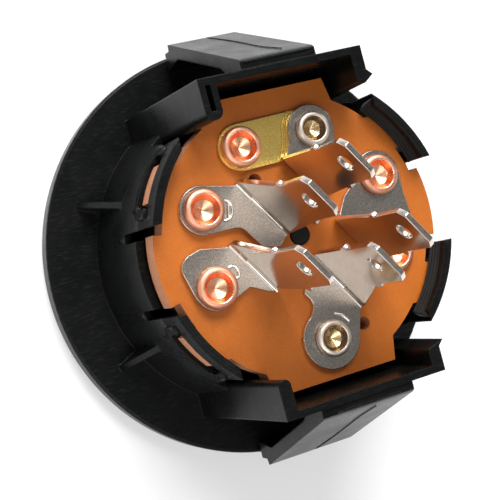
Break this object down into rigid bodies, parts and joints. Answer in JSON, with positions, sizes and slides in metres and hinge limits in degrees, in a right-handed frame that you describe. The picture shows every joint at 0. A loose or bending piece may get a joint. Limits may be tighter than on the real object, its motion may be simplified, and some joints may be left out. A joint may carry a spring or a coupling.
{
  "type": "ignition switch",
  "caption": "Snap-in key switch with a round bezel, two spring tabs and spade terminals on a laminate board.",
  "frame": {"origin": "centre of the round bezel, in the plane of its front face", "axes": "+Z from the front face toward the spade terminals; X along the flat sides of the two arms; the snap tabs stand out along +Y and -Y"},
  "size_m": [0.0598, 0.0616, 0.0403],
  "materials": {
    "black_plastic": "fine grain",
    "laminate": "satin",
    "plated_sheet": "satin nickel plate",
    "brass": "satin",
    "copper": "copper plate, satin",
    "spring_steel": "drawn wire",
    "rotor_plastic": "satin",
    "washer_plastic": "smooth",
    "rubber": "matte"
  },
  "bodies": {
    "switch_body": {"housing": "black_plastic", "terminal_board": "laminate", "battery_terminal": "plated_sheet", "magneto_terminal": "plated_sheet", "starter_terminal": "plated_sheet", "lights_terminal": "plated_sheet", "ground_terminal": "plated_sheet", "link_strip": "brass", "link_rivet": "copper", "battery_rivet": "brass", "starter_rivet": "copper", "magneto_rivet": "copper", "lights_rivet": "copper", "ground_rivet": "brass", "spare_rivet": "copper"},
    "key_rotor": {"rotor": "rotor_plastic", "rotor_washer": "washer_plastic", "barrel_seal": "rubber", "return_spring": "spring_steel", "contact_spring": "spring_steel"},
    "contact_carrier": {"contact_plate": "brass"}
  },
  "joints": [
    {"name": "key_turn", "type": "hinge", "parent": "switch_body", "child": "key_rotor", "pos_m": [0, 0, 0.0005], "axis": [0, 0, 1], "range_deg": [0, 80]},
    {"name": "contact_lift", "type": "slide", "parent": "key_rotor", "child": "contact_carrier", "axis": [0, 0, -1], "range_m": [0, 0.0006], "stiffness_N_per_m": 900, "springref_m": -0.001, "deforming": ["contact_spring"]}
  ]
}
